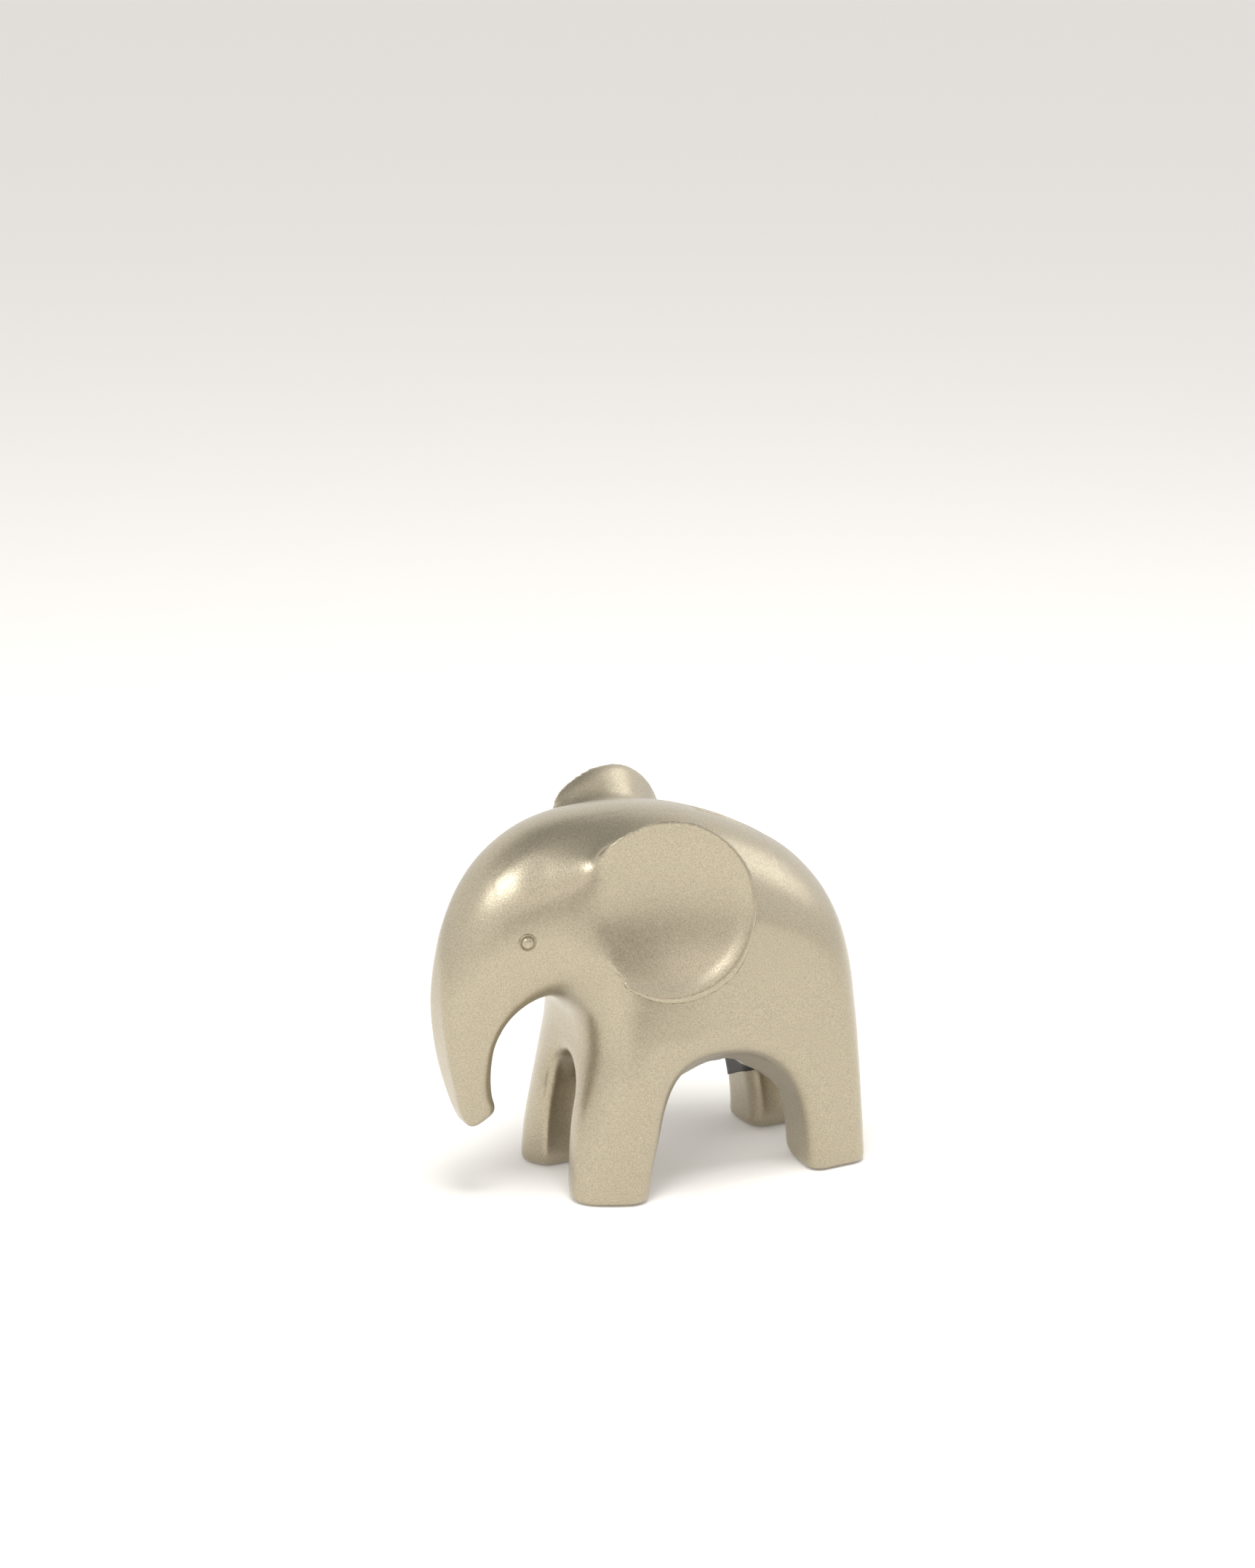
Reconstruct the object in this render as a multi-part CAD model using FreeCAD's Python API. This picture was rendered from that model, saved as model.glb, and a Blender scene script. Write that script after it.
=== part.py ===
"""Hollow elephant coin bank: casting, belly stopper, two eye buttons and a blank label.

Frame: millimetres, +Z up, the head looks along -Y, the animal's left side is +X.
The origin is on the table, under the middle of the whole bank.
"""
import FreeCAD, Part
import math
import os

# ---- driving dimensions ------------------------------------------------------------------
WALL = 4.5                  # thickness of the casting
MIDDLE = 22.8               # the feet's centre lies this far behind the middle of the length
TRACK = 44.0                # between the centre lines of the left and right legs
WHEELBASE = 88.0            # between the centres of the front and the hind feet
FOOT_WIDTH = 23.0
FOOT_ROUND = 5.0            # height of the rounding under each foot
LEG_TOP = 64.0              # height at which a leg is well inside the body
SLOT_LENGTH = 36.0
SLOT_WIDTH = 5.0
SLOT_REAR = -36.0           # rear end of the coin slot, forward of the feet's centre
HOLE_RADIUS = 14.0
HOLE_FORWARD = -1.0         # centre of the emptying hole
SEAT_HEIGHT = 45.0          # the stopper's flange lies in a round recess, against this flat seat
SEAT_RADIUS = 16.6
BOSS_RADIUS = 20.0          # thickening inside the casting round the hole
BOSS_TOP = 49.0
PLUG_GAP = 0.3              # all round the plug, where the rubber is squeezed
PLUG_DEPTH = 9.0
FLANGE_RADIUS = 15.6
FLANGE_THICK = 2.2
TAB_THICK = 2.2             # the pull tab across the stopper's recess
EYE_RADIUS = 3.1
EYE_FORWARD = 76.0
EYE_HEIGHT = 100.5
LABEL_THICK = 0.3
LABEL_LOW = 25.5            # lower edge of the label above the table
LABEL_HIGH = 37.0

# Each body section runs from the inner point (trunk crook, throat, belly) to the outer point
# (trunk front, forehead, back, rump): forward and height of both, half width, squareness.
SECTIONS = (
    (82.6, 35.6, 91.6, 27.4, 7.2, 2.4),
    (82.8, 41.0, 96.0, 38.5, 9.0, 2.5),
    (82.2, 48.5, 99.2, 50.0, 10.6, 2.5),
    (80.4, 57.0, 101.4, 64.0, 12.4, 2.5),
    (76.6, 64.8, 102.0, 78.0, 14.4, 2.4),
    (70.8, 69.8, 100.4, 93.0, 17.2, 2.3),
    (64.6, 71.6, 95.2, 110.5, 20.6, 2.2),
    (59.0, 70.0, 84.0, 126.0, 23.6, 2.2),
    (52.0, 61.0, 68.0, 136.4, 26.6, 2.2),
    (42.0, 49.0, 49.0, 140.4, 29.8, 2.3),
    (26.0, 40.0, 28.0, 141.0, 33.4, 2.4),
    (4.0, 37.8, 4.0, 137.4, 35.4, 2.5),
    (-16.0, 38.4, -18.0, 127.2, 35.6, 2.6),
    (-32.0, 39.4, -34.0, 117.0, 35.0, 2.6),
    (-44.0, 40.4, -45.0, 105.4, 33.6, 2.7),
    (-51.5, 41.4, -51.5, 93.0, 31.4, 2.7),
    (-56.4, 44.0, -56.4, 76.0, 27.0, 2.6),
)
CAVITY_SECTIONS = SECTIONS[6:-1]    # the chamber reaches from the forehead to the rump

# Leg sections: height, forward centre from the foot's centre, half length.
FRONT_LEG = ((FOOT_ROUND, 0.6, 12.8), (14.0, 0.2, 13.2), (26.0, -1.8, 13.8), (38.0, -4.4, 14.8),
             (50.0, -7.4, 15.4), (LEG_TOP, -11.0, 15.4))
HIND_LEG = ((FOOT_ROUND, 0.0, 12.0), (14.0, 0.0, 12.4), (26.0, 1.6, 13.2), (38.0, 4.6, 14.6),
            (50.0, 9.4, 15.4), (LEG_TOP, 14.0, 15.4))
LEG_SQUARENESS = 3.2
LEG_LEAN = 4.0              # the root of a leg lies this much nearer the middle than its foot

# The ear is a tilted dish. Its outline is a row of points round its middle, as rearward and
# upward distances in the ear's own plane.
EAR_MIDDLE = (36.5, 30.4, 111.4)    # out, forward, up
RIGHT_EAR_BACK = 5.2                # the right ear sits this much further back
RIGHT_EAR_RISE = 3.2                # and this much higher than the left one
EAR_TURN = 15.0                     # degrees by which the ear's rear edge stands out
EAR_LEAN = 5.0                      # degrees by which the ear's top edge leans in
EAR_OUTLINE = ((-38.0, 6.0), (-33.4, 13.8), (-21.8, 21.8), (-11.3, 27.2), (0.0, 31.3),
               (12.3, 29.7), (23.1, 23.1), (30.4, 12.6), (32.4, 0.0), (30.2, -12.5),
               (24.0, -24.0), (12.9, -31.2), (0.0, -32.1), (-11.3, -27.3), (-20.1, -20.1),
               (-31.0, -12.0), (-38.0, -6.0))
EAR_THICK = 10.0
EAR_BACK_SCALE = 0.78
DISH_DEPTH = 5.0
DISH_RADIUS = 29.0


def at(out, forward, up):
    """Point of the row frame from out (+X), forward (towards the head) and height."""
    return FreeCAD.Vector(out, MIDDLE - forward, up)


def oval(centre, side, rise, squareness, steps=24):
    """Closed row of points round a superellipse with the half axes side and rise."""
    power = 2.0 / squareness
    ring = []
    for step in range(steps + 1):
        angle = 2.0 * math.pi * (step % steps) / steps - math.pi / 2.0
        c = math.cos(angle)
        s = math.sin(angle)
        across = math.copysign(abs(c) ** power, c)
        along = math.copysign(abs(s) ** power, s)
        ring.append(centre + side * across + rise * along)
    return ring


def closed_wire(points):
    curve = Part.BSplineCurve()
    curve.interpolate(Points=points, PeriodicFlag=True)
    return Part.Wire([curve.toShape()])


def skin(rings):
    """Solid with one smooth spline surface through the rings and a flat cap at each end."""
    surface = Part.BSplineSurface()
    surface.interpolate(rings)
    surface.setVPeriodic()
    wall = surface.toShape()
    caps = [Part.Face(Part.Wire([edge])) for edge in wall.Edges if edge.isClosed()]
    shell = Part.makeShell([wall] + caps)
    shell.sewShape()
    solid = Part.makeSolid(shell)
    if solid.Volume < 0.0:
        solid.reverse()
    return solid


def body_section(row, inset):
    inner_s, inner_z, outer_s, outer_z, half, squareness = row
    inner = at(0.0, inner_s, inner_z)
    outer = at(0.0, outer_s, outer_z)
    rise = (outer - inner) * 0.5
    centre = (outer + inner) * 0.5
    rise = rise * ((rise.Length - inset) / rise.Length)
    side = FreeCAD.Vector(half - inset, 0.0, 0.0)
    return oval(centre, side, rise, squareness)


def body_loft(rows, inset):
    return skin([body_section(row, inset) for row in rows])


def leg(rows, forward, side):
    """One leg, from the flat under the foot to its root inside the body."""
    foot_half = rows[0][2]
    rounding = ((0.0, 3.6), (1.0, 1.9), (2.6, 0.7))
    levels = [(height, rows[0][1], foot_half, less) for height, less in rounding]
    levels += [(height, shift, half, 0.0) for height, shift, half in rows]
    wires = []
    for height, shift, half, less in levels:
        wide = FOOT_WIDTH / 2.0 - less
        lean = LEG_LEAN * (height / LEG_TOP) ** 2
        centre = at(side * (TRACK / 2.0 - lean), forward + shift, height)
        ring = oval(centre, FreeCAD.Vector(wide, 0, 0), FreeCAD.Vector(0, half - less, 0),
                    LEG_SQUARENESS)
        wires.append(closed_wire(ring[:-1]))
    return Part.makeLoft(wires, True, False, False, 5)


def ear(side):
    """A thick dish with a rounded back, turned so that its rear edge stands out."""
    turn = math.radians(EAR_TURN)
    lean = math.radians(EAR_LEAN)
    rearward = FreeCAD.Vector(side * math.sin(turn), math.cos(turn), 0.0)
    level = FreeCAD.Vector(side * math.cos(turn), -math.sin(turn), 0.0)
    outward = level * math.cos(lean) + FreeCAD.Vector(0.0, 0.0, math.sin(lean))
    upward = level * -math.sin(lean) + FreeCAD.Vector(0.0, 0.0, math.cos(lean))
    out, forward, height = EAR_MIDDLE
    if side < 0.0:
        forward = forward - RIGHT_EAR_BACK
        height = height + RIGHT_EAR_RISE
    middle = at(side * out, forward, height)
    wires = []
    for depth, scale in ((0.0, 0.985), (1.2, 1.0), (3.4, 0.98), (EAR_THICK, EAR_BACK_SCALE)):
        ring = [middle + rearward * (u * scale) + upward * (v * scale) - outward * depth
                for u, v in EAR_OUTLINE]
        wires.append(closed_wire(ring))
    plate = Part.makeLoft(wires, True, True, False, 5)
    ball_radius = (DISH_RADIUS ** 2 + DISH_DEPTH ** 2) / (2.0 * DISH_DEPTH)
    ball = Part.makeSphere(ball_radius, middle + outward * (ball_radius - DISH_DEPTH))
    return plate.cut(ball)


def outer_form():
    """The whole elephant as one solid block, before it is hollowed."""
    form = body_loft(SECTIONS, 0.0)
    sides = (1.0, -1.0)
    limbs = [leg(FRONT_LEG, WHEELBASE / 2.0, side) for side in sides]
    limbs += [leg(HIND_LEG, -WHEELBASE / 2.0, side) for side in sides]
    limbs += [ear(side) for side in sides]
    for limb in limbs:
        form = form.fuse(limb)
    return form


def coin_chamber():
    return body_loft(CAVITY_SECTIONS, WALL)


def coin_slot():
    corner = at(-SLOT_WIDTH / 2.0, SLOT_REAR + SLOT_LENGTH, 95.0)
    return Part.makeBox(SLOT_WIDTH, SLOT_LENGTH, 60.0, corner)


def column(radius, low, high):
    """Upright cylinder on the axis of the emptying hole."""
    return Part.makeCylinder(radius, high - low, at(0.0, HOLE_FORWARD, low))


def body_shell(form):
    boss = column(BOSS_RADIUS, 30.0, BOSS_TOP).common(form)
    shell = form.cut(coin_chamber()).cut(coin_slot()).fuse(boss)
    return shell.cut(column(SEAT_RADIUS, 30.0, SEAT_HEIGHT)).cut(column(HOLE_RADIUS, 30.0, 60.0))


def belly_stopper():
    """Rubber plug: flange, hollow tapered plug and a pull tab across the recess."""
    top = SEAT_HEIGHT - PLUG_GAP
    low = top - FLANGE_THICK
    plug_radius = HOLE_RADIUS - PLUG_GAP
    profile = (
        (0.0, top + PLUG_DEPTH), (plug_radius - 1.4, top + PLUG_DEPTH),
        (plug_radius, top + PLUG_DEPTH - 1.6), (plug_radius, top),
        (FLANGE_RADIUS - 0.5, top), (FLANGE_RADIUS, top - 0.5), (FLANGE_RADIUS, low + 0.7),
        (FLANGE_RADIUS - 0.7, low), (plug_radius - 4.0, low),
        (plug_radius - 5.0, top + PLUG_DEPTH - 3.0), (0.0, top + PLUG_DEPTH - 3.0),
    )
    points = [at(radius, HOLE_FORWARD, height) for radius, height in profile]
    face = Part.Face(Part.makePolygon(points + [points[0]]))
    turned = face.revolve(at(0.0, HOLE_FORWARD, 0.0), FreeCAD.Vector(0, 0, 1), 360.0)
    reach = plug_radius - 4.4
    tab = Part.makeBox(2.0 * reach, TAB_THICK, PLUG_DEPTH + 1.0,
                       at(-reach, HOLE_FORWARD + TAB_THICK / 2.0, low + 0.4))
    return turned.fuse(tab)


def eye(form, side):
    """Domed button on the head, its base cut to the casting's surface."""
    probe = Part.makeLine(at(0.0, EYE_FORWARD, EYE_HEIGHT), at(side * 60.0, EYE_FORWARD, EYE_HEIGHT))
    inside = probe.common(form)
    reach = max(abs(vertex.Point.x) for vertex in inside.Vertexes)
    ball = Part.makeSphere(EYE_RADIUS, at(side * (reach - 1.3), EYE_FORWARD, EYE_HEIGHT))
    return ball.cut(form)


def leg_label(form):
    """Thin blank sticker round the front of the right hind leg, inside the belly arch."""
    thicker = [(height, shift, half + LABEL_THICK) for height, shift, half in HIND_LEG]
    sleeve = leg(thicker, -WHEELBASE / 2.0, -1.0)
    window = Part.makeBox(15.0, 18.0, LABEL_HIGH - LABEL_LOW,
                          at(-TRACK / 2.0 - 5.5, -16.0, LABEL_LOW))
    return sleeve.common(window).cut(form)


def export(name, shape):
    solids = shape.Solids
    print(name, len(solids), "solid(s), volume", round(shape.Volume, 1), "valid", shape.isValid())
    result = solids[0] if len(solids) == 1 else Part.makeCompound(solids)
    result.exportStep(os.path.join("parts", name + ".step"))


def main():
    os.makedirs("parts", exist_ok=True)
    form = outer_form()
    export("body_shell", body_shell(form))
    export("belly_stopper", belly_stopper())
    export("eye_left", eye(form, 1.0))
    export("eye_right", eye(form, -1.0))
    export("leg_label", leg_label(form))
    box = form.BoundBox
    print("x", box.XMin, box.XMax, "y", box.YMin, box.YMax, "z", box.ZMin, box.ZMax)


main()
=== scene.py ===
"""Elephant coin bank in satin champagne paint, standing on a pale studio floor.

The casting is one closed mesh, polygonised from a distance field that is written in the
elephant's own directions, in millimetres: out (+X), forward (towards the head) and up.
"""

import math

import bpy
import numpy as np
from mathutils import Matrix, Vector


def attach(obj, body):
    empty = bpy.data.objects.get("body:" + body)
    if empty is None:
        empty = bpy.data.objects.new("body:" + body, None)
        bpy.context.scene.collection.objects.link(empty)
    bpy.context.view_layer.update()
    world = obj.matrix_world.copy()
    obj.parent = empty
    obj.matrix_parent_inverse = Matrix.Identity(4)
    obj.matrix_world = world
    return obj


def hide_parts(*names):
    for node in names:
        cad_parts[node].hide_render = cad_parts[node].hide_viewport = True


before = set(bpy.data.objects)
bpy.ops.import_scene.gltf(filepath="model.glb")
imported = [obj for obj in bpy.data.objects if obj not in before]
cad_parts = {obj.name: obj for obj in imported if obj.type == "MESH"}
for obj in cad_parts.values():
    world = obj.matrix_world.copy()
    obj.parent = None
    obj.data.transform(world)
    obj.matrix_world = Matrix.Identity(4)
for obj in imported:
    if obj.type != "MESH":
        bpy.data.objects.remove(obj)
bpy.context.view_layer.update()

MM = 0.001
MIDDLE = 22.8               # the feet's centre lies this far behind the row frame's origin

# ---- driving dimensions (mm) -------------------------------------------------------------
WALL = 4.5
LEG_GAP_HALF = 10.4         # half the clear width between the left and right legs
LEG_GAP_TOP = 48.0
LEG_CHAMFER_TOP = 50.0
LEGS_FRONT = 70.0           # the cuts between the legs stop short of the trunk
BELLY_LOW = 37.8
BELLY_HALF = 25.0
BELLY_RISE = 22.0
BELLY_REAR = -27.0          # its round ends begin here and reach on by BELLY_END
BELLY_FRONT = 24.0
BELLY_END = 16.0
CHAMBER_FLOOR = 49.0
CHAMBER_FRONT = 60.0
SLOT_HALF = 2.5             # half the coin slot's width
SLOT_REAR = -36.0
SLOT_FRONT = 0.0
SLOT_FLOOR = 95.0           # well inside the chamber
HOLE_FORWARD = -1.0
HOLE_RADIUS = 14.0
HOLE_OVERRUN = 4.0          # the emptying hole is cut this far into the chamber
SEAT_RADIUS = 16.6          # round recess in which the stopper's flange lies
SEAT_HEIGHT = 45.0
EAR_MIDDLE = (36.5, 30.4, 111.4)
RIGHT_EAR_BACK = 5.2        # the right ear sits a little further back and higher than the left
RIGHT_EAR_RISE = 3.2
EAR_TURN = math.radians(15.0)
EAR_LEAN = math.radians(5.0)
DISH_DEPTH = 5.2
DISH_MIDDLE = (1.0, -0.4)   # rearward and up from the ear's middle
DISH_HALF = (31.4, 31.7)    # half its length and half its height
DISH_RADIUS = 31.6          # mean of the two, for its slope
DISH_FORWARD = 4.0          # how much further its front runs on at mid height
DISH_SET = 0.9              # its edge lies this far inside the ear's plane
FACE_RISE = 0.9             # and the ear's outer face this far outside it
LIP_RISE = 0.8              # how far the dish turns up at its edge
EARS_FROM = -24.0           # the ears and their joins lie between these forward places,
EARS_TO = 84.0
EARS_LOW = 64.0             # above this height
EARS_INNER = 9.0            # and further out than this
RIM_BLUR = 0.7              # grid cells; takes the steps off the ears' thin rims
CHEEK_BLUR = 6.0            # mm; smooths the join of ear and head
EYE_PLACE = (76.0, 100.5)   # forward, up
EYE_RADIUS = 3.1

# Side outline (forward, up): up the trunk, over the back, down the rump, round the arch
# between the legs, up the throat and round the crook of the trunk. The feet run on below
# the floor, where they are cut off flat.
SIDE_OUTLINE = (
    (90.8, 27.6), (95.0, 33.5), (98.0, 44.0), (100.6, 56.0), (102.2, 70.0), (102.2, 82.0),
    (100.7, 95.0), (96.9, 107.0), (91.0, 118.0), (82.2, 127.8), (70.0, 135.6), (57.0, 139.6),
    (43.0, 141.0), (28.0, 140.8), (12.0, 138.4), (-3.0, 133.9), (-18.0, 127.4), (-33.0, 118.6),
    (-44.8, 107.0), (-51.5, 93.5), (-54.4, 78.0), (-55.0, 60.0), (-55.2, 42.0), (-55.6, 24.0),
    (-56.2, 10.0), (-56.6, -4.0), (-56.0, -14.0), (-44.0, -16.0), (-34.0, -14.0), (-31.8, -4.0),
    (-31.4, 8.0), (-29.8, 20.0), (-26.6, 31.0), (-20.0, 41.4), (-10.0, 47.8), (2.0, 50.0),
    (13.0, 48.6), (21.0, 43.2), (25.9, 34.0), (29.0, 23.0), (32.2, 10.0), (34.2, -3.0),
    (36.0, -14.0), (45.0, -16.0), (56.0, -14.0), (59.2, -3.0), (59.2, 10.0), (57.8, 22.0),
    (55.6, 34.0), (53.4, 46.0), (52.0, 58.0), (54.0, 68.0), (61.0, 74.0), (69.5, 73.0),
    (77.4, 68.0), (82.4, 59.6), (84.0, 49.0), (83.4, 39.5), (82.2, 34.8), (84.2, 31.4),
)

# Half width of the form at places (forward, up) in the side view.
HALF_WIDTHS = (
    (0, 90, 34.8), (-30, 90, 34.6), (-50, 80, 34.0), (-44, 4, 34.6), (-44, 45, 34.6),
    (44, 4, 35.2), (44, 45, 34.6), (0, 60, 34.6), (20, 80, 33.8), (30, 130, 33.0),
    (-30, 120, 33.0), (50, 90, 29.5), (64, 104, 24.6), (58, 125, 27.0), (62, 80, 24.0),
    (58, 92, 28.0), (78, 100, 20.6), (76, 118, 22.0), (92, 100, 17.0), (100, 84, 12.8),
    (86, 78, 15.5), (101, 62, 9.8), (85, 58, 13.2), (98, 42, 8.8), (86, 42, 10.6),
    (89, 30, 7.6), (56, 66, 29.0), (38, 66, 34.6),
)

# How the sides turn into the side outline: forward, up, depth below the outline, width across.
ROUNDING = (
    (0, 130, 46, 35), (40, 138, 44, 34), (-30, 115, 40, 34), (-52, 90, 24, 28),
    (-56, 60, 15, 18), (-56, 20, 8.5, 9), (-44, 0, 7, 7), (0, 48, 7.5, 9), (28, 20, 7, 7.5),
    (-30, 20, 7, 7.5), (44, 0, 7, 7), (57, 20, 7, 7.5), (54, 50, 13, 18), (60, 72, 17, 24),
    (76, 70, 11, 16), (84, 45, 8.5, 8.5), (100, 60, 5.5, 5), (103, 78, 9, 8), (98, 104, 24, 18),
    (84, 126, 34, 23), (64, 136, 42, 28), (90, 28, 5.5, 5), (97, 40, 5.5, 5),
)

# Ear outline in the ear's own plane: rearward and up from its middle.
EAR_OUTLINE = (
    (32.4, 0.0), (30.4, 12.6), (23.1, 23.1), (12.3, 29.7), (0.0, 31.3), (-10.3, 28.9),
    (-19.2, 24.2), (-28.0, 18.4), (-37.0, 12.0), (-41.0, 0.0), (-36.0, -12.0), (-27.5, -19.0),
    (-20.0, -22.6), (-11.3, -28.0), (0.0, -32.3), (12.9, -31.2), (24.0, -24.0), (30.2, -12.5),
)


# ---- field mathematics -------------------------------------------------------------------
def smooth_outline(points, steps=10):
    """Closed Catmull-Rom curve through the points."""
    p = np.array(points, float)
    t = np.linspace(0.0, 1.0, steps, endpoint=False)[:, None]
    runs = []
    for i in range(len(p)):
        a, b, c, d = (p[(i + k) % len(p)] for k in (-1, 0, 1, 2))
        runs.append(0.5 * (2 * b + (c - a) * t + (2 * a - 5 * b + 4 * c - d) * t ** 2
                           + (3 * b - a - 3 * c + d) * t ** 3))
    return np.concatenate(runs)


def outline_distance(curve, u, v):
    """Signed distance to a closed curve, negative inside."""
    nearest = np.full(u.shape, 1e9)
    inside = np.zeros(u.shape, bool)
    for (ax, ay), (bx, by) in zip(curve, np.roll(curve, -1, axis=0)):
        ex, ey = bx - ax, by - ay
        wx, wy = u - ax, v - ay
        t = np.clip((wx * ex + wy * ey) / (ex * ex + ey * ey), 0.0, 1.0)
        nearest = np.minimum(nearest, (wx - ex * t) ** 2 + (wy - ey * t) ** 2)
        if ey != 0.0:
            inside ^= ((ay > v) != (by > v)) & (u < ax + (v - ay) / ey * ex)
    return np.where(inside, -1.0, 1.0) * np.sqrt(nearest)


def union(a, b, k):
    """Smooth union of two fields, blended over the width k."""
    h = np.clip(0.5 + 0.5 * (b - a) / k, 0.0, 1.0)
    return b + (a - b) * h - k * h * (1.0 - h)


def cut(a, b, k):
    """Field a with field b taken away, the edge rounded over the width k."""
    return -union(-a, b, k)


def step(low, high, x):
    """Smooth rise from 0 at low to 1 at high; low may be the larger one."""
    t = np.clip((x - low) / (high - low), 0.0, 1.0)
    return t * t * (3.0 - 2.0 * t)


def blur(values, axis, sigma):
    """Gaussian blur along one axis; sigma is in grid cells."""
    reach = int(math.ceil(3 * sigma))
    weights = np.exp(-0.5 * (np.arange(-reach, reach + 1) / sigma) ** 2)
    weights /= weights.sum()
    pad = [(0, 0)] * values.ndim
    pad[axis] = (reach, reach)
    padded = np.pad(values, pad, mode="edge")
    size = values.shape[axis]
    out = np.zeros_like(values)
    for i, weight in enumerate(weights):
        out += weight * np.take(padded, np.arange(i, i + size), axis=axis)
    return out


def soften(values, sigma):
    """Gaussian blur along every axis."""
    for axis in range(values.ndim):
        values = blur(values, axis, sigma)
    return values


def spline_field(rows, column):
    """Thin-plate spline of one column over (forward, up), as a function."""
    p = np.array([(row[0], row[1], row[column]) for row in rows], float)
    scale = 50.0
    give = 1e-4             # lets the spline pass a hair beside its points

    def kernel(d):
        return d * d * np.log(np.maximum(d, 1e-9))

    n = len(p)
    gaps = np.hypot(p[:, None, 0] - p[None, :, 0], p[:, None, 1] - p[None, :, 1]) / scale
    m = np.zeros((n + 3, n + 3))
    m[:n, :n] = kernel(gaps) + np.eye(n) * give
    m[:n, n] = 1.0
    m[:n, n + 1:] = p[:, :2] / scale
    m[n:, :n] = m[:n, n:].T
    c = np.linalg.solve(m, np.concatenate([p[:, 2], np.zeros(3)]))

    def field(s, z):
        out = c[n] + c[n + 1] * s / scale + c[n + 2] * z / scale
        for i in range(n):
            out = out + c[i] * kernel(np.hypot(s - p[i, 0], z - p[i, 1]) / scale)
        return out

    return field


class Plane:
    """Values on a 2D grid with smooth lookup."""

    def __init__(self, low, high, spacing, make):
        self.low = low
        self.spacing = spacing
        a = np.arange(low[0], high[0], spacing)
        b = np.arange(low[1], high[1], spacing)
        self.values = make(*np.meshgrid(a, b, indexing="ij"))

    def __call__(self, a, b):
        fa = np.clip((a - self.low[0]) / self.spacing, 1.0, self.values.shape[0] - 3.001)
        fb = np.clip((b - self.low[1]) / self.spacing, 1.0, self.values.shape[1] - 3.001)
        ia, ib = fa.astype(int), fb.astype(int)

        def weights(t):
            return (0.5 * (-t + 2 * t * t - t ** 3), 0.5 * (2 - 5 * t * t + 3 * t ** 3),
                    0.5 * (t + 4 * t * t - 3 * t ** 3), 0.5 * (t ** 3 - t * t))

        wa, wb = weights(fa - ia), weights(fb - ib)
        total = 0.0
        for i in range(4):
            for j in range(4):
                total = total + wa[i] * wb[j] * self.values[ia + i - 1, ib + j - 1]
        return total


# ---- the elephant's form -----------------------------------------------------------------
def body_slab(x, s, z):
    """Side outline with the half widths and roundings laid over it; s and z are 2D grids."""
    curve = smooth_outline(SIDE_OUTLINE)
    depth = outline_distance(curve, s, z)
    depth = soften(depth, 1.2)
    half = np.clip(spline_field(HALF_WIDTHS, 2)(s, z), 7.0, 36.0)
    fall = np.clip(spline_field(ROUNDING, 2)(s, z), 4.5, 48.0)
    spread = np.minimum(np.clip(spline_field(ROUNDING, 3)(s, z), 4.5, 36.0), half)
    power = 2.2
    q = np.maximum(0.0, 1.0 + depth / fall)[None]
    r = np.maximum(0.0, 1.0 + (x - half[None]) / spread[None])
    f = (r ** power + q ** power + 1e-9) ** (1.0 / power)
    slope = np.sqrt((r ** (power - 1) / spread[None]) ** 2 + (q ** (power - 1) / fall[None]) ** 2)
    slope = slope / np.maximum(f, 1e-3) ** (power - 1)
    return (f - 1.0) / np.maximum(slope, 1e-2)


def leg_gap(x, s, z):
    """The round-topped passage between the left and right legs; its top falls to the rear."""
    stretch = 2.0
    centre = LEG_GAP_TOP - LEG_GAP_HALF - stretch - 2.0 * step(30.0, -30.0, s)
    arch = np.hypot(x, (z - centre) * LEG_GAP_HALF / (LEG_GAP_HALF + stretch)) - LEG_GAP_HALF
    gap = np.where(z < centre, x - LEG_GAP_HALF, arch)
    return cut(gap, LEGS_FRONT - s, 2.0)


def leg_chamfer(x, s, z):
    """Slanted cut down the inner front edge of each front leg."""
    slant = ((s - 56.2 + 0.02 * z) * 6.5 - (x - LEG_GAP_HALF) * 2.6) / 7.0
    under = cut(-slant, LEG_CHAMFER_TOP - z, 6.0)
    return cut(under, LEGS_FRONT - s, 2.0)


def belly(x, s, z):
    """Round belly that hangs between the arches, lowest near its middle."""
    sb = np.clip(s, BELLY_REAR, BELLY_FRONT)
    low = BELLY_LOW - 0.014 * (sb + 3.0) ** 2
    ex, ez, es = x / BELLY_HALF, (z - low - BELLY_RISE) / BELLY_RISE, (s - sb) / BELLY_END
    r = np.sqrt(ex ** 2 + ez ** 2 + es ** 2)
    slope = np.sqrt((ex / BELLY_HALF) ** 2 + (ez / BELLY_RISE) ** 2 + (es / BELLY_END) ** 2)
    return (r - 1.0) * np.maximum(r, 1e-3) / np.maximum(slope, 1e-3)


def ear_frame(out, s, z):
    """Rearward, upward and outward distances in the ear's own plane."""
    dx, ds, dz = out - EAR_MIDDLE[0], s - EAR_MIDDLE[1], z - EAR_MIDDLE[2]
    ct, st = math.cos(EAR_TURN), math.sin(EAR_TURN)
    cl, sl = math.cos(EAR_LEAN), math.sin(EAR_LEAN)
    u = dx * st - ds * ct
    level = dx * ct + ds * st
    return u, dz * cl - level * sl, level * cl + dz * sl


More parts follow.
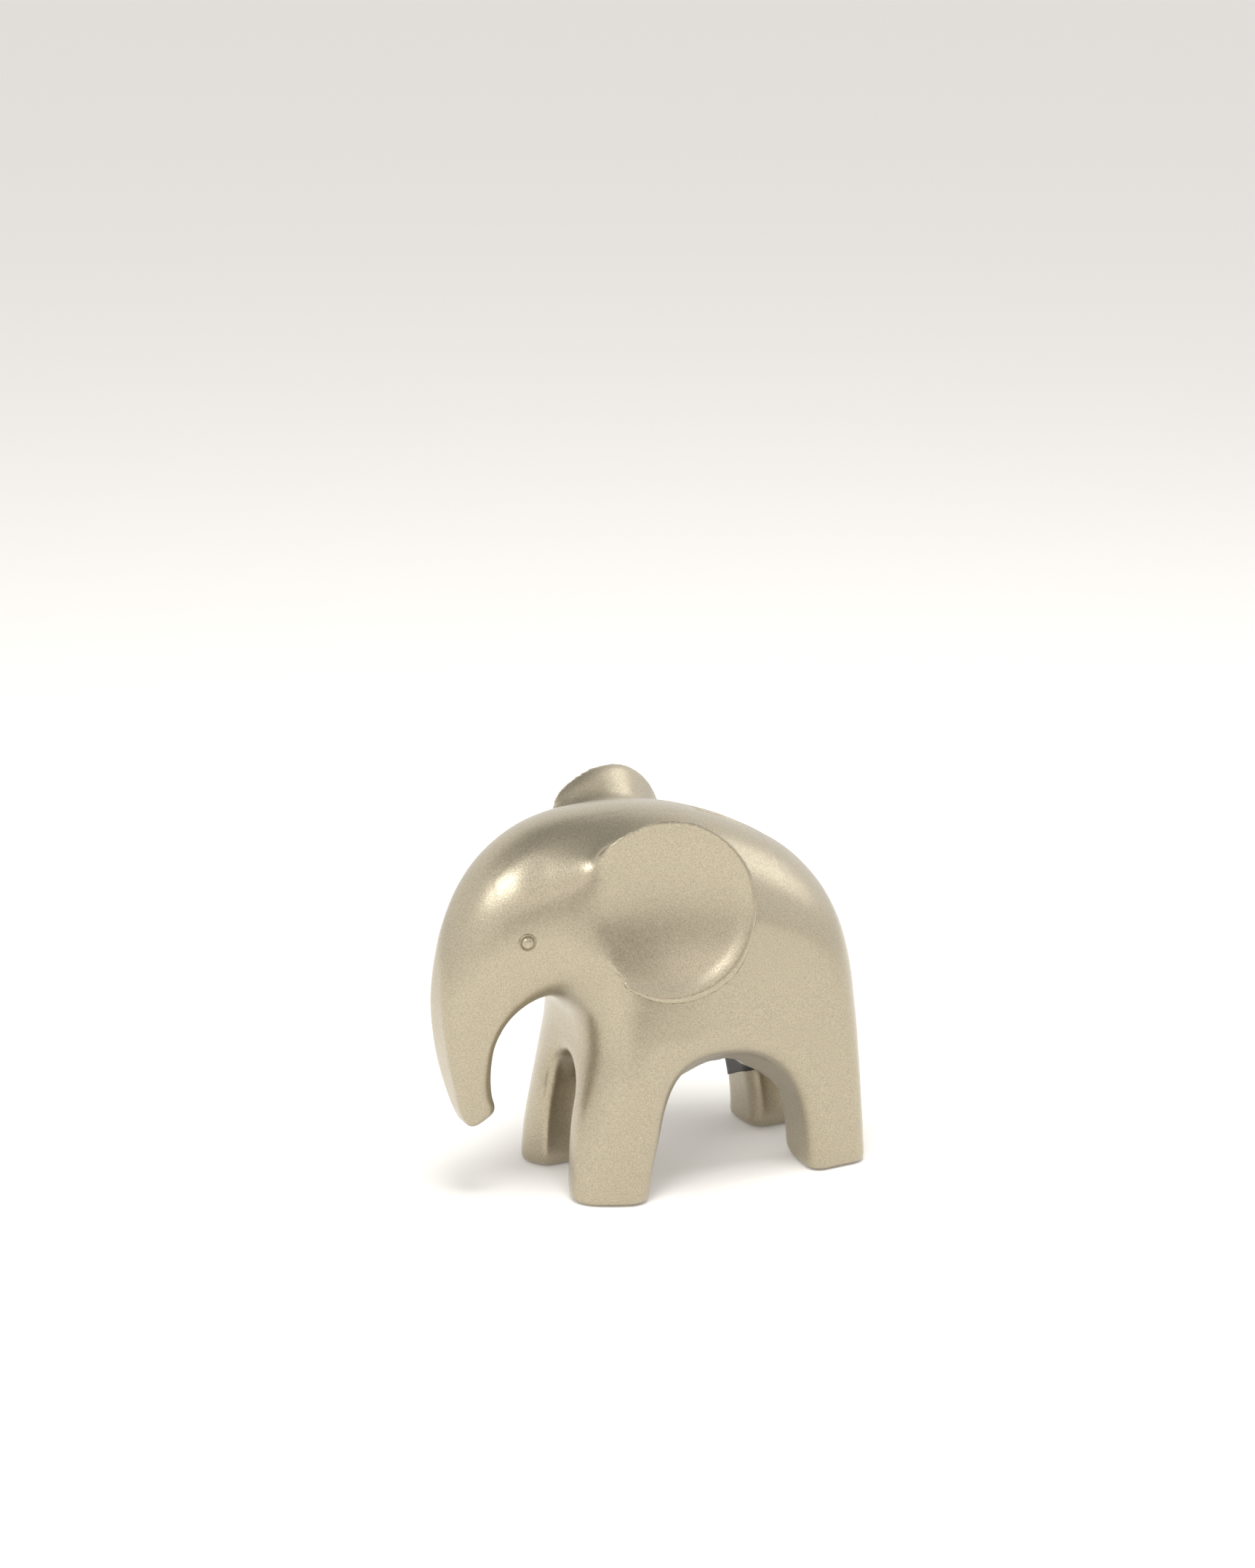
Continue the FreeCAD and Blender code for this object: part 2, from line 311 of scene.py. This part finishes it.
def ear(u, v, n, rim):
    """The ear as a plate with a rounded lip, widest below and behind, and its dish."""
    du, dv = u - DISH_MIDDLE[0], v - DISH_MIDDLE[1]
    longer = DISH_HALF[0] + DISH_FORWARD * step(16.0, 0.0, np.abs(v + 4.0))
    r = np.hypot(du / np.where(du < 0.0, longer, DISH_HALF[0]), dv / DISH_HALF[1])
    slope = 2.0 * DISH_DEPTH * r / DISH_RADIUS
    lift = LIP_RISE * step(0.84, 1.02, r) * step(-30.0, -10.0, u)
    dish = (n - DISH_DEPTH * (r * r - 1.0) + DISH_SET - lift) / np.sqrt(1.0 + slope ** 2)
    reach = np.hypot(u, v) + 6.0
    grow = np.clip(0.7 - 2.1 * v / reach + 0.8 * u / reach, 0.4, 2.6)
    flare = np.clip(0.35 - 0.75 * v / reach + 0.30 * u / reach, -0.4, 1.0)
    wall = (rim - grow + flare * n) / np.sqrt(1.0 + flare ** 2)
    back = (-n - np.minimum(2.2 + 0.9 * np.maximum(-rim, 0.0), 13.0)) / 1.3
    plate = cut(wall, -back, 2.0)
    face = n - FACE_RISE + 6.0 * step(-18.0, -40.0, u)
    return cut(plate, -face, 2.6), dish


def add_ears(form, x, s, z, ear_rim):
    """The form with its ears, which run out into the head at their front, and the share of
    each place that belongs to the cheek there."""
    right = x < 0.0
    es = np.where(right, s + RIGHT_EAR_BACK, s)
    ez = np.where(right, z - RIGHT_EAR_RISE, z)
    u, v, n = ear_frame(np.abs(x), es, ez)
    plate, dish = ear(u, v, n, ear_rim(u, v))
    k = np.clip(5.0 + 5.0 * v / (np.hypot(u, v) + 6.0), 1.2, 9.0)
    k = k + (7.0 - k) * step(-18.0, -34.0, u)
    eared = union(form, plate, k)
    open_front = step(-6.0, -30.0, u) * step(-24.0, -13.0, v) * step(15.0, 5.0, v)
    cheek = step(-14.0, -30.0, u) * step(-32.0, -10.0, v) * step(30.0, 10.0, v)
    eared = cut(eared, -dish, 0.8 + 4.0 * open_front)
    fade = step(-19.0, -35.0, u - 6.0 * step(-2.0, -14.0, v))
    return eared + (form - eared) * fade, cheek


def casting_field(x, s, z):
    """Distance field of the whole casting on a grid; x, s and z are its axes."""
    xs, ss, zs = x[:, None, None], s[None, :, None], z[None, None, :]
    out = np.abs(xs)
    sg, zg = np.meshgrid(s, z, indexing="ij")
    form = body_slab(out, sg, zg)
    form = cut(form, leg_gap(out, ss, zs), 6.0)
    form = cut(form, leg_chamfer(out, ss, zs), 1.5)
    form = union(form, belly(out, ss, zs), 9.0)
    form = cut(form, zs, 3.2 + 3.5 * step(22.0, 11.0, out))
    curve = smooth_outline(EAR_OUTLINE, 12)
    ear_rim = Plane((-80.0, -75.0), (80.0, 75.0), 0.5, lambda u, v: outline_distance(curve, u, v))
    ahead, above = np.flatnonzero((s > EARS_FROM) & (s < EARS_TO)), np.flatnonzero(z > EARS_LOW)
    for side in (np.flatnonzero(x < -EARS_INNER), np.flatnonzero(x > EARS_INNER)):
        part = np.ix_(side, ahead, above)
        px, ps, pz = x[side][:, None, None], s[ahead][None, :, None], z[above][None, None, :]
        eared, cheek = add_ears(form[part], px, ps, pz, ear_rim)
        eared = soften(eared, RIM_BLUR)
        soft = soften(eared, CHEEK_BLUR / (x[1] - x[0]))
        cheek = cheek * step(68.0, 80.0, pz) * step(11.0, 18.0, np.abs(px)) * step(80.0, 66.0, ps)
        form[part] = eared + (soft - eared) * cheek
    return hollow(form, out, ss, zs)


def hollow(form, out, s, z):
    """Takes the coin chamber, the slot, the emptying hole and its recess out of the form."""
    chamber = np.maximum(form + WALL, CHAMBER_FLOOR - z)
    chamber = np.maximum(chamber, s - CHAMBER_FRONT)
    form = cut(form, chamber, 1.0)
    slot = np.maximum(out - SLOT_HALF, np.maximum(s - SLOT_FRONT, SLOT_REAR - s))
    form = cut(form, np.maximum(slot, SLOT_FLOOR - z), 1.6)
    radius = np.hypot(out, s - HOLE_FORWARD)
    seat = np.maximum(radius - SEAT_RADIUS, z - SEAT_HEIGHT)
    hole = np.maximum(radius - HOLE_RADIUS, z - CHAMBER_FLOOR - HOLE_OVERRUN)
    return cut(cut(form, seat, 1.2), hole, 0.8)


# ---- polygonising ------------------------------------------------------------------------
def sample(values, origin, cell, points):
    """Trilinear lookup of grid values at points."""
    f = (points - origin) / cell
    f = np.clip(f, 0.0, np.array(values.shape) - 1.001)
    i = f.astype(int)
    t = f - i
    total = 0.0
    for dx in (0, 1):
        for dy in (0, 1):
            for dz in (0, 1):
                w = (abs(1 - dx - t[:, 0]) * abs(1 - dy - t[:, 1]) * abs(1 - dz - t[:, 2]))
                total = total + w * values[i[:, 0] + dx, i[:, 1] + dy, i[:, 2] + dz]
    return total


def field_slopes(values, origin, cell, points):
    """Gradient of the field at points, and its length, never quite 0."""
    slopes = [np.gradient(values, cell, axis=k) for k in range(3)]
    slope = np.stack([sample(g, origin, cell, points) for g in slopes], axis=1)
    return slope, np.maximum(np.linalg.norm(slope, axis=1), 1e-3)[:, None]


def surface_net(values, origin, cell):
    """Closed quad mesh where the grid's values change sign, with its unit normals."""
    inside = values < 0.0
    nx, ny, nz = values.shape
    total = np.zeros((nx - 1, ny - 1, nz - 1, 3))
    count = np.zeros((nx - 1, ny - 1, nz - 1))
    corners = [(a, b, c) for a in (0, 1) for b in (0, 1) for c in (0, 1)]
    for axis in range(3):
        for a in corners:
            if a[axis]:
                continue
            b = list(a)
            b[axis] = 1
            va = values[a[0]:nx - 1 + a[0], a[1]:ny - 1 + a[1], a[2]:nz - 1 + a[2]]
            vb = values[b[0]:nx - 1 + b[0], b[1]:ny - 1 + b[1], b[2]:nz - 1 + b[2]]
            crossed = (va < 0.0) != (vb < 0.0)
            t = np.where(crossed, va / np.where(crossed, va - vb, 1.0), 0.0)
            count += crossed
            for k in range(3):
                total[..., k] += crossed * (a[k] + (t if k == axis else 0.0))
    used = count > 0
    index = np.full(used.shape, -1)
    index[used] = np.arange(used.sum())
    where = np.argwhere(used)
    points = origin + (where + total[used] / count[used][:, None]) * cell
    faces = []
    for axis in range(3):
        u, v = (axis + 1) % 3, (axis + 2) % 3
        lo = [slice(1, -1)] * 3
        lo[axis] = slice(0, -1)
        hi = list(lo)
        hi[axis] = slice(1, None)
        a, b = inside[tuple(lo)], inside[tuple(hi)]
        at = np.argwhere(a != b)
        at[:, u] += 1
        at[:, v] += 1
        outward = a[a != b]
        ring = []
        for du, dv in ((0, 0), (-1, 0), (-1, -1), (0, -1)):
            cell_at = at.copy()
            cell_at[:, u] += du
            cell_at[:, v] += dv
            ring.append(index[cell_at[:, 0], cell_at[:, 1], cell_at[:, 2]])
        quad = np.stack(ring, axis=1)
        faces.append(np.where(outward[:, None], quad, quad[:, ::-1]))
    for _ in range(3):
        normals, length = field_slopes(values, origin, cell, points)
        shift = sample(values, origin, cell, points)[:, None] * normals / length ** 2
        points = points - np.clip(shift, -0.3 * cell, 0.3 * cell)
    return points, np.concatenate(faces), normals / length


def to_row(points):
    """Points in (out, forward, up) millimetres as row-frame metres."""
    return np.stack([points[:, 0], MIDDLE - points[:, 1], points[:, 2]], axis=1) * MM


def mesh_object(name, points, faces, material):
    """Smooth-shaded mesh object from row-frame points in metres."""
    mesh = bpy.data.meshes.new(name)
    mesh.from_pydata(np.asarray(points).tolist(), [], faces)
    mesh.validate()
    mesh.shade_smooth()
    mesh.materials.append(material)
    thing = bpy.data.objects.new(name, mesh)
    bpy.context.scene.collection.objects.link(thing)
    return thing


def mirrored_mesh(name, points, faces, material):
    """Mesh object from (out, forward, up) points; that frame is mirrored, so faces turn over."""
    return mesh_object(name, to_row(points), np.asarray(faces)[:, ::-1].tolist(), material)


def set_normals(mesh, normals):
    """Custom normals from (out, forward, up) directions."""
    mesh.normals_split_custom_set_from_vertices((normals * (1.0, -1.0, 1.0)).tolist())


def thin_out(thing, ratio, values, origin, cell):
    """Merges faces where the surface is flat; normals come from the field again."""
    modifier = thing.modifiers.new("thin_out", "DECIMATE")
    modifier.ratio = ratio
    bpy.context.view_layer.update()
    solved = thing.evaluated_get(bpy.context.evaluated_depsgraph_get())
    mesh = bpy.data.meshes.new_from_object(solved)
    thing.modifiers.clear()
    mesh.name = thing.name
    thing.data = mesh
    places = np.empty(len(mesh.vertices) * 3)
    mesh.vertices.foreach_get("co", places)
    places = places.reshape(-1, 3) / MM
    places[:, 1] = MIDDLE - places[:, 1]
    slope, length = field_slopes(values, origin, cell, places)
    set_normals(mesh, slope / length)


def grid_axis(low, high, cell):
    """Grid places from low to just past high."""
    return np.arange(low, high + cell, cell)


# ---- materials ---------------------------------------------------------------------------
def new_material(name):
    """Node material, with its tree and its Principled shader."""
    material = bpy.data.materials.new(name)
    material.use_nodes = True
    tree = material.node_tree
    return material, tree, tree.nodes["Principled BSDF"]


def ramp(tree, source, low, high, start, end):
    """Smooth change from start to end as the source goes from low to high."""
    node = tree.nodes.new("ShaderNodeMapRange")
    node.interpolation_type = "SMOOTHSTEP"
    node.inputs["From Min"].default_value = low
    node.inputs["From Max"].default_value = high
    node.inputs["To Min"].default_value = start
    node.inputs["To Max"].default_value = end
    tree.links.new(source, node.inputs["Value"])
    return node.outputs["Result"]


def multiply(tree, a, b):
    node = tree.nodes.new("ShaderNodeMath")
    node.operation = "MULTIPLY"
    tree.links.new(a, node.inputs[0])
    tree.links.new(b, node.inputs[1])
    return node.outputs["Value"]


def speckle(tree, scale, detail, low, high):
    """Grey noise in the object's own directions, stretched between two levels."""
    place = tree.nodes.new("ShaderNodeTexCoord")
    noise = tree.nodes.new("ShaderNodeTexNoise")
    noise.inputs["Scale"].default_value = scale
    noise.inputs["Detail"].default_value = detail
    spread = tree.nodes.new("ShaderNodeMapRange")
    spread.inputs["From Min"].default_value = 0.3
    spread.inputs["From Max"].default_value = 0.7
    spread.inputs["To Min"].default_value = low
    spread.inputs["To Max"].default_value = high
    tree.links.new(place.outputs["Object"], noise.inputs["Vector"])
    tree.links.new(noise.outputs["Fac"], spread.inputs["Value"])
    return spread.outputs["Result"]


def champagne_paint(name, grain=1.0):
    """Satin metallic spray paint: a pale gold flake with a fine grain."""
    material, tree, shader = new_material(name)
    mix = tree.nodes.new("ShaderNodeMix")
    mix.data_type = "RGBA"
    mix.inputs["A"].default_value = (0.355, 0.310, 0.222, 1.0)
    mix.inputs["B"].default_value = (0.500, 0.442, 0.326, 1.0)
    tree.links.new(speckle(tree, 1900.0, 2.0, 0.0, 1.0), mix.inputs["Factor"])
    tree.links.new(mix.outputs["Result"], shader.inputs["Base Color"])
    tree.links.new(speckle(tree, 900.0, 1.0, 0.28, 0.36), shader.inputs["Roughness"])
    shader.inputs["Metallic"].default_value = 0.88
    shader.inputs["Coat Weight"].default_value = 0.6
    shader.inputs["Coat Roughness"].default_value = 0.30
    bump = tree.nodes.new("ShaderNodeBump")
    bump.inputs["Strength"].default_value = 0.10 * grain
    bump.inputs["Distance"].default_value = 0.0002
    tree.links.new(speckle(tree, 1700.0, 1.0, 0.0, 1.0), bump.inputs["Height"])
    tree.links.new(bump.outputs["Normal"], shader.inputs["Normal"])
    return material


def plain_material(name, colour, roughness):
    material, _, shader = new_material(name)
    shader.inputs["Base Color"].default_value = (*colour, 1.0)
    shader.inputs["Roughness"].default_value = roughness
    return material


PAINT = champagne_paint("champagne_paint")
EYE_PAINT = champagne_paint("champagne_eye_paint", 0.5)
RUBBER = plain_material("black_rubber", (0.018, 0.018, 0.019), 0.62)
LABEL_INK = plain_material("black_label", (0.010, 0.010, 0.010), 0.45)


# ---- the casting -------------------------------------------------------------------------
CELL = 0.9
ORIGIN = np.array((-51.0, -63.0, -4.0))     # lowest corner of the grid, in mm
FAR_CORNER = (51.0, 108.0, 149.0)
KEPT_FACES = 0.58                           # share left after merging the flat ones


def casting():
    """The casting's mesh and its distance field on the grid."""
    x, s, z = (grid_axis(low, high, CELL) for low, high in zip(ORIGIN, FAR_CORNER))
    values = casting_field(x, s, z)
    points, faces, normals = surface_net(values, ORIGIN, CELL)
    thing = mirrored_mesh("casting", points, faces, PAINT)
    set_normals(thing.data, normals)
    thin_out(thing, KEPT_FACES, values, ORIGIN, CELL)
    return thing, values


body, FORM = casting()
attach(body, "casting")
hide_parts("body_shell")


def surface_point(start, direction):
    """First point of the casting's surface from outside along a direction, and its normal."""
    direction = np.array(direction, float)
    direction /= np.linalg.norm(direction)
    stride, span = 0.1, 1.2
    reach = np.arange(0.0, 80.0, stride)
    line = np.array(start, float) + reach[:, None] * direction
    value = sample(FORM, ORIGIN, CELL, line)
    i = max(int(np.argmax(value < 0.0)), 1)
    t = reach[i - 1] + stride * value[i - 1] / (value[i - 1] - value[i])
    point = np.array(start, float) + t * direction
    normal = []
    for axis in range(3):
        d = np.zeros(3)
        d[axis] = span
        pair = sample(FORM, ORIGIN, CELL, np.array([point + d, point - d]))
        normal.append(pair[0] - pair[1])
    normal = np.array(normal)
    return point, normal / np.linalg.norm(normal)


# ---- lathe-turned pieces -----------------------------------------------------------------
def rounded(corners, radius, steps=5):
    """Open profile with each inner corner replaced by an arc-like curve."""
    corners = [np.array(c, float) for c in corners]
    out = [corners[0]]
    for a, b, c in zip(corners, corners[1:], corners[2:]):
        before, after = a - b, c - b
        cut_back = min(radius, 0.45 * np.linalg.norm(before), 0.45 * np.linalg.norm(after))
        start = b + before / np.linalg.norm(before) * cut_back
        end = b + after / np.linalg.norm(after) * cut_back
        for t in np.linspace(0.0, 1.0, steps):
            out.append((1 - t) ** 2 * start + 2 * t * (1 - t) * b + t * t * end)
    out.append(corners[-1])
    return np.array(out)


def lathe(profile, segments):
    """Vertices and quads of a profile (radius, height) turned about its axis, closed."""
    inner = profile[1:-1]
    angles = np.arange(segments) * 2.0 * math.pi / segments
    points = [(0.0, 0.0, profile[0][1])]
    for radius, height in inner:
        points += [(radius * math.cos(a), radius * math.sin(a), height) for a in angles]
    points.append((0.0, 0.0, profile[-1][1]))
    last = len(points) - 1
    faces = []
    for j in range(segments):
        k = (j + 1) % segments
        faces.append((0, 1 + k, 1 + j))
        for i in range(len(inner) - 1):
            a, b = 1 + i * segments, 1 + (i + 1) * segments
            faces.append((a + j, a + k, b + k, b + j))
        a = 1 + (len(inner) - 1) * segments
        faces.append((a + j, a + k, last))
    return np.array(points), faces


# ---- eyes --------------------------------------------------------------------------------
# Profile (radius, height): the dome, a fine groove, a raised ring and the sunk underside.
EYE_PROFILE = (
    (0.0, 1.45), (1.1, 1.35), (2.0, 0.95), (2.4, 0.08), (2.62, 0.10), (2.8, 0.55),
    (EYE_RADIUS, 0.5), (EYE_RADIUS + 0.3, -0.5), (0.0, -0.9),
)


def eye(side, name, node):
    """Low domed button with a raised ring, set square on the head's surface."""
    start = (side * 60.0, *EYE_PLACE)
    point, normal = surface_point(start, (-side, 0.0, 0.0))
    points, faces = lathe(rounded(EYE_PROFILE, 0.45), 48)
    row_normal = Vector((normal[0], -normal[1], normal[2]))
    turn = row_normal.to_track_quat("Z", "Y").to_matrix()
    centre = Vector(to_row(point[None])[0])
    placed = [centre + turn @ Vector(p) * MM for p in points]
    thing = mesh_object(name, placed, faces, EYE_PAINT)
    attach(thing, "casting")
    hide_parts(node)


eye(1.0, "left_eye", "eye_left")
eye(-1.0, "right_eye", "eye_right")


# ---- belly stopper -----------------------------------------------------------------------
# Heights are above the flange's upper face, which lies just under the seat.
STOPPER_TOP = SEAT_HEIGHT - 0.3
FLANGE_RADIUS = 15.4
FLANGE_THICK = 2.2
PLUG_RADIUS = 13.7
PLUG_RISE = 9.0
TAPER = 0.1                         # of the plug's side and of its hollow, per mm of height
GRIP_HEIGHTS = (2.4, 5.2)
GRIP_PLACE = 13.1                   # radius at which the grip rings' centres lie
GRIP_SIZE = 0.55
HOLLOW_RADIUS = 9.6                 # the plug is hollow from below
HOLLOW_RISE = 6.0
TAB_LENGTH = 9.4                    # half of it; the pull tab lies across the hollow
TAB_THICK = 1.1                     # half of it
TAB_FROM = -1.6
TAB_TO = 7.0
BAR_LENGTH = 6.5                    # half of it; the round bar along the tab's lower edge
BAR_RADIUS = 1.5
BAR_HEIGHT = -1.2


def stopper_field(x, s, z):
    """Rubber plug: flange, hollow plug with two grip rings, and a pull tab with its bar."""
    xs, ss = x[:, None, None], s[None, :, None] - HOLE_FORWARD
    up = z[None, None, :] - STOPPER_TOP
    radius = np.hypot(xs, ss)

    def between(side, low, high):
        return np.maximum(side, np.maximum(low - up, up - high))

    plug = between(radius - PLUG_RADIUS + TAPER * up, -2.0, PLUG_RISE)
    for height in GRIP_HEIGHTS:
        plug = union(plug, np.hypot(radius - GRIP_PLACE, up - height) - GRIP_SIZE, 0.6)
    form = union(plug, between(radius - FLANGE_RADIUS, -FLANGE_THICK, 0.0), 0.6)
    hole = np.maximum(radius - HOLLOW_RADIUS + TAPER * up, up - HOLLOW_RISE)
    form = cut(form, hole, 1.2)
    tab = np.maximum(np.abs(ss) - TAB_THICK, np.abs(xs) - TAB_LENGTH)
    form = union(form, between(tab, TAB_FROM, TAB_TO), 1.0)
    beyond = 9.0 * (np.abs(xs) > BAR_LENGTH)
    return union(form, np.hypot(ss, up - BAR_HEIGHT) - BAR_RADIUS + beyond, 0.6)


def stopper():
    """The stopper's mesh, from a finer grid of its own."""
    cell = 0.36
    origin = np.array((-17.0, HOLE_FORWARD - 17.0, SEAT_HEIGHT - 4.5))
    x = grid_axis(origin[0], 17.0, cell)
    s = grid_axis(origin[1], HOLE_FORWARD + 17.0, cell)
    z = grid_axis(origin[2], SEAT_HEIGHT + 10.5, cell)
    points, faces, normals = surface_net(stopper_field(x, s, z), origin, cell)
    thing = mirrored_mesh("stopper", points, faces, RUBBER)
    set_normals(thing.data, normals)
    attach(thing, "stopper")
    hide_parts("belly_stopper")


stopper()


# ---- blank label on the right hind leg ---------------------------------------------------
LABEL_AXIS = (-22.0, -44.0)         # upright axis inside the leg
LABEL_FROM = math.radians(-38.0)    # angles from straight ahead, towards the middle
LABEL_TO = math.radians(44.0)
LABEL_LOW = (16.6, 26.0)            # heights of the slanting lower and upper edges, both ends
LABEL_HIGH = (36.0, 28.6)
LABEL_THICK = 0.3
LABEL_SINK = 0.2                    # its underside lies this far in the paint
LABEL_START = 20.0                  # the surface is looked for from this far off the axis


def label():
    """Thin sheet laid round the front of the leg."""
    across, rows = 40, 16
    sheet = []
    for layer in (-LABEL_SINK, LABEL_THICK):
        for i in range(rows + 1):
            for j in range(across + 1):
                share = j / across
                angle = LABEL_FROM + (LABEL_TO - LABEL_FROM) * share
                low = LABEL_LOW[0] + (LABEL_LOW[1] - LABEL_LOW[0]) * share
                high = LABEL_HIGH[0] + (LABEL_HIGH[1] - LABEL_HIGH[0]) * share
                height = low + (high - low) * i / rows
                out, ahead = math.sin(angle), math.cos(angle)
                start = (LABEL_AXIS[0] + LABEL_START * out, LABEL_AXIS[1] + LABEL_START * ahead, height)
                point, normal = surface_point(start, (-out, -ahead, 0.0))
                sheet.append(point + normal * layer)
    width = across + 1
    size = width * (rows + 1)
    faces = []
    for i in range(rows):
        for j in range(across):
            a = i * width + j
            faces.append((a, a + width, a + width + 1, a + 1))
            faces.append((size + a, size + a + 1, size + a + width + 1, size + a + width))
    edge = [(0, j) for j in range(across)] + [(i, across) for i in range(rows)]
    edge += [(rows, j) for j in range(across, 0, -1)] + [(i, 0) for i in range(rows, 0, -1)]
    loop = [i * width + j for i, j in edge]
    for a, b in zip(loop, loop[1:] + loop[:1]):
        faces.append((a, b, size + b, size + a))
    thing = mirrored_mesh("label", np.array(sheet), faces, LABEL_INK)
    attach(thing, "casting")
    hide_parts("leg_label")


label()


# ---- floor, light and camera -------------------------------------------------------------
FLOOR_HALF = 14.0
AIM_HEIGHT = 0.07                   # the lamps point at the middle of the bank
DIM_SIDE = (0.98, -0.10, 0.0)       # where the room is dim: the bank's left
CAMERA_PLACE = (1.1288, -0.5492, 0.5001)
CAMERA_AIM = (-0.8668, 0.4185, -0.2711)
CAMERA_LENS = 83.49


def white_paper():
    """Plain pale floor, with a weak even glow."""
    material, _, shader = new_material("studio_white")
    shader.inputs["Base Color"].default_value = (0.80, 0.785, 0.76, 1.0)
    shader.inputs["Roughness"].default_value = 0.8
    shader.inputs["Specular IOR Level"].default_value = 0.0
    shader.inputs["Emission Color"].default_value = (1.0, 0.985, 0.97, 1.0)
    shader.inputs["Emission Strength"].default_value = 0.12
    return material


def floor():
    mesh = bpy.data.meshes.new("floor")
    corners = [(x * FLOOR_HALF, y * FLOOR_HALF, 0.0) for x, y in ((-1, -1), (1, -1), (1, 1), (-1, 1))]
    mesh.from_pydata(corners, [], [(0, 1, 2, 3)])
    mesh.materials.append(white_paper())
    thing = bpy.data.objects.new("floor", mesh)
    bpy.context.scene.collection.objects.link(thing)


def softbox(name, azimuth, elevation, distance, width, height, watts):
    """Lamp that points at the bank; azimuth in degrees from straight ahead towards its left."""
    a, e = math.radians(azimuth), math.radians(elevation)
    place = Vector((distance * math.sin(a) * math.cos(e), -distance * math.cos(a) * math.cos(e),
                    distance * math.sin(e) + AIM_HEIGHT))
    lamp = bpy.data.lights.new(name, "AREA")
    lamp.shape = "RECTANGLE"
    lamp.size = width
    lamp.size_y = height
    lamp.energy = watts
    thing = bpy.data.objects.new(name, lamp)
    thing.location = place
    thing.rotation_mode = "QUATERNION"
    thing.rotation_quaternion = (Vector((0.0, 0.0, AIM_HEIGHT)) - place).to_track_quat("-Z", "Y")
    bpy.context.scene.collection.objects.link(thing)
    return thing


def room_light(tree):
    """Strength and colour of the room's light: even round the horizon, dim overhead, and dim
    and warm towards the bank's left."""
    place = tree.nodes.new("ShaderNodeTexCoord")
    parts = tree.nodes.new("ShaderNodeSeparateXYZ")
    tree.links.new(place.outputs["Generated"], parts.inputs["Vector"])
    side = tree.nodes.new("ShaderNodeVectorMath")
    side.operation = "DOT_PRODUCT"
    side.inputs[1].default_value = DIM_SIDE
    tree.links.new(place.outputs["Generated"], side.inputs[0])
    overhead = ramp(tree, parts.outputs["Z"], 0.60, 0.98, 1.06, 0.36)
    low_down = ramp(tree, parts.outputs["Z"], 0.05, 0.40, 1.0, 0.25)
    facing = multiply(tree, ramp(tree, side.outputs["Value"], 0.78, 0.96, 0.0, 1.0), low_down)
    level = multiply(tree, overhead, ramp(tree, facing, 0.0, 1.0, 1.0, 0.12))
    tint = tree.nodes.new("ShaderNodeMix")
    tint.data_type = "RGBA"
    tint.inputs["A"].default_value = (1.0, 0.985, 0.965, 1.0)
    tint.inputs["B"].default_value = (1.0, 0.72, 0.58, 1.0)
    tree.links.new(facing, tint.inputs["Factor"])
    return level, tint.outputs["Result"]


def studio():
    """The room's light and four soft lamps; the overhead one stays out of the reflections."""
    world = bpy.data.worlds.new("studio")
    world.use_nodes = True
    background = world.node_tree.nodes["Background"]
    level, tint = room_light(world.node_tree)
    world.node_tree.links.new(level, background.inputs["Strength"])
    world.node_tree.links.new(tint, background.inputs["Color"])
    bpy.context.scene.world = world
    softbox("softbox_key", 38.0, 36.0, 1.4, 0.54, 0.46, 4.1)
    softbox("softbox_side", 74.0, 14.0, 1.6, 0.80, 0.24, 0.95)
    softbox("softbox_rear", 178.0, 34.0, 1.3, 0.50, 0.42, 1.0)
    lid = softbox("softbox_lid", 70.0, 76.0, 1.5, 0.60, 0.60, 16.0)
    lid.visible_glossy = False
    bpy.context.scene.view_settings.view_transform = "Standard"


def camera():
    """Camera at the photograph's viewing angle."""
    data = bpy.data.cameras.new("camera")
    data.sensor_width = 36.0
    data.lens = CAMERA_LENS
    data.clip_start = 0.05
    data.clip_end = 20.0
    thing = bpy.data.objects.new("camera", data)
    thing.location = CAMERA_PLACE
    thing.rotation_mode = "QUATERNION"
    thing.rotation_quaternion = Vector(CAMERA_AIM).to_track_quat("-Z", "Y")
    bpy.context.scene.collection.objects.link(thing)
    bpy.context.scene.camera = thing


floor()
studio()
camera()
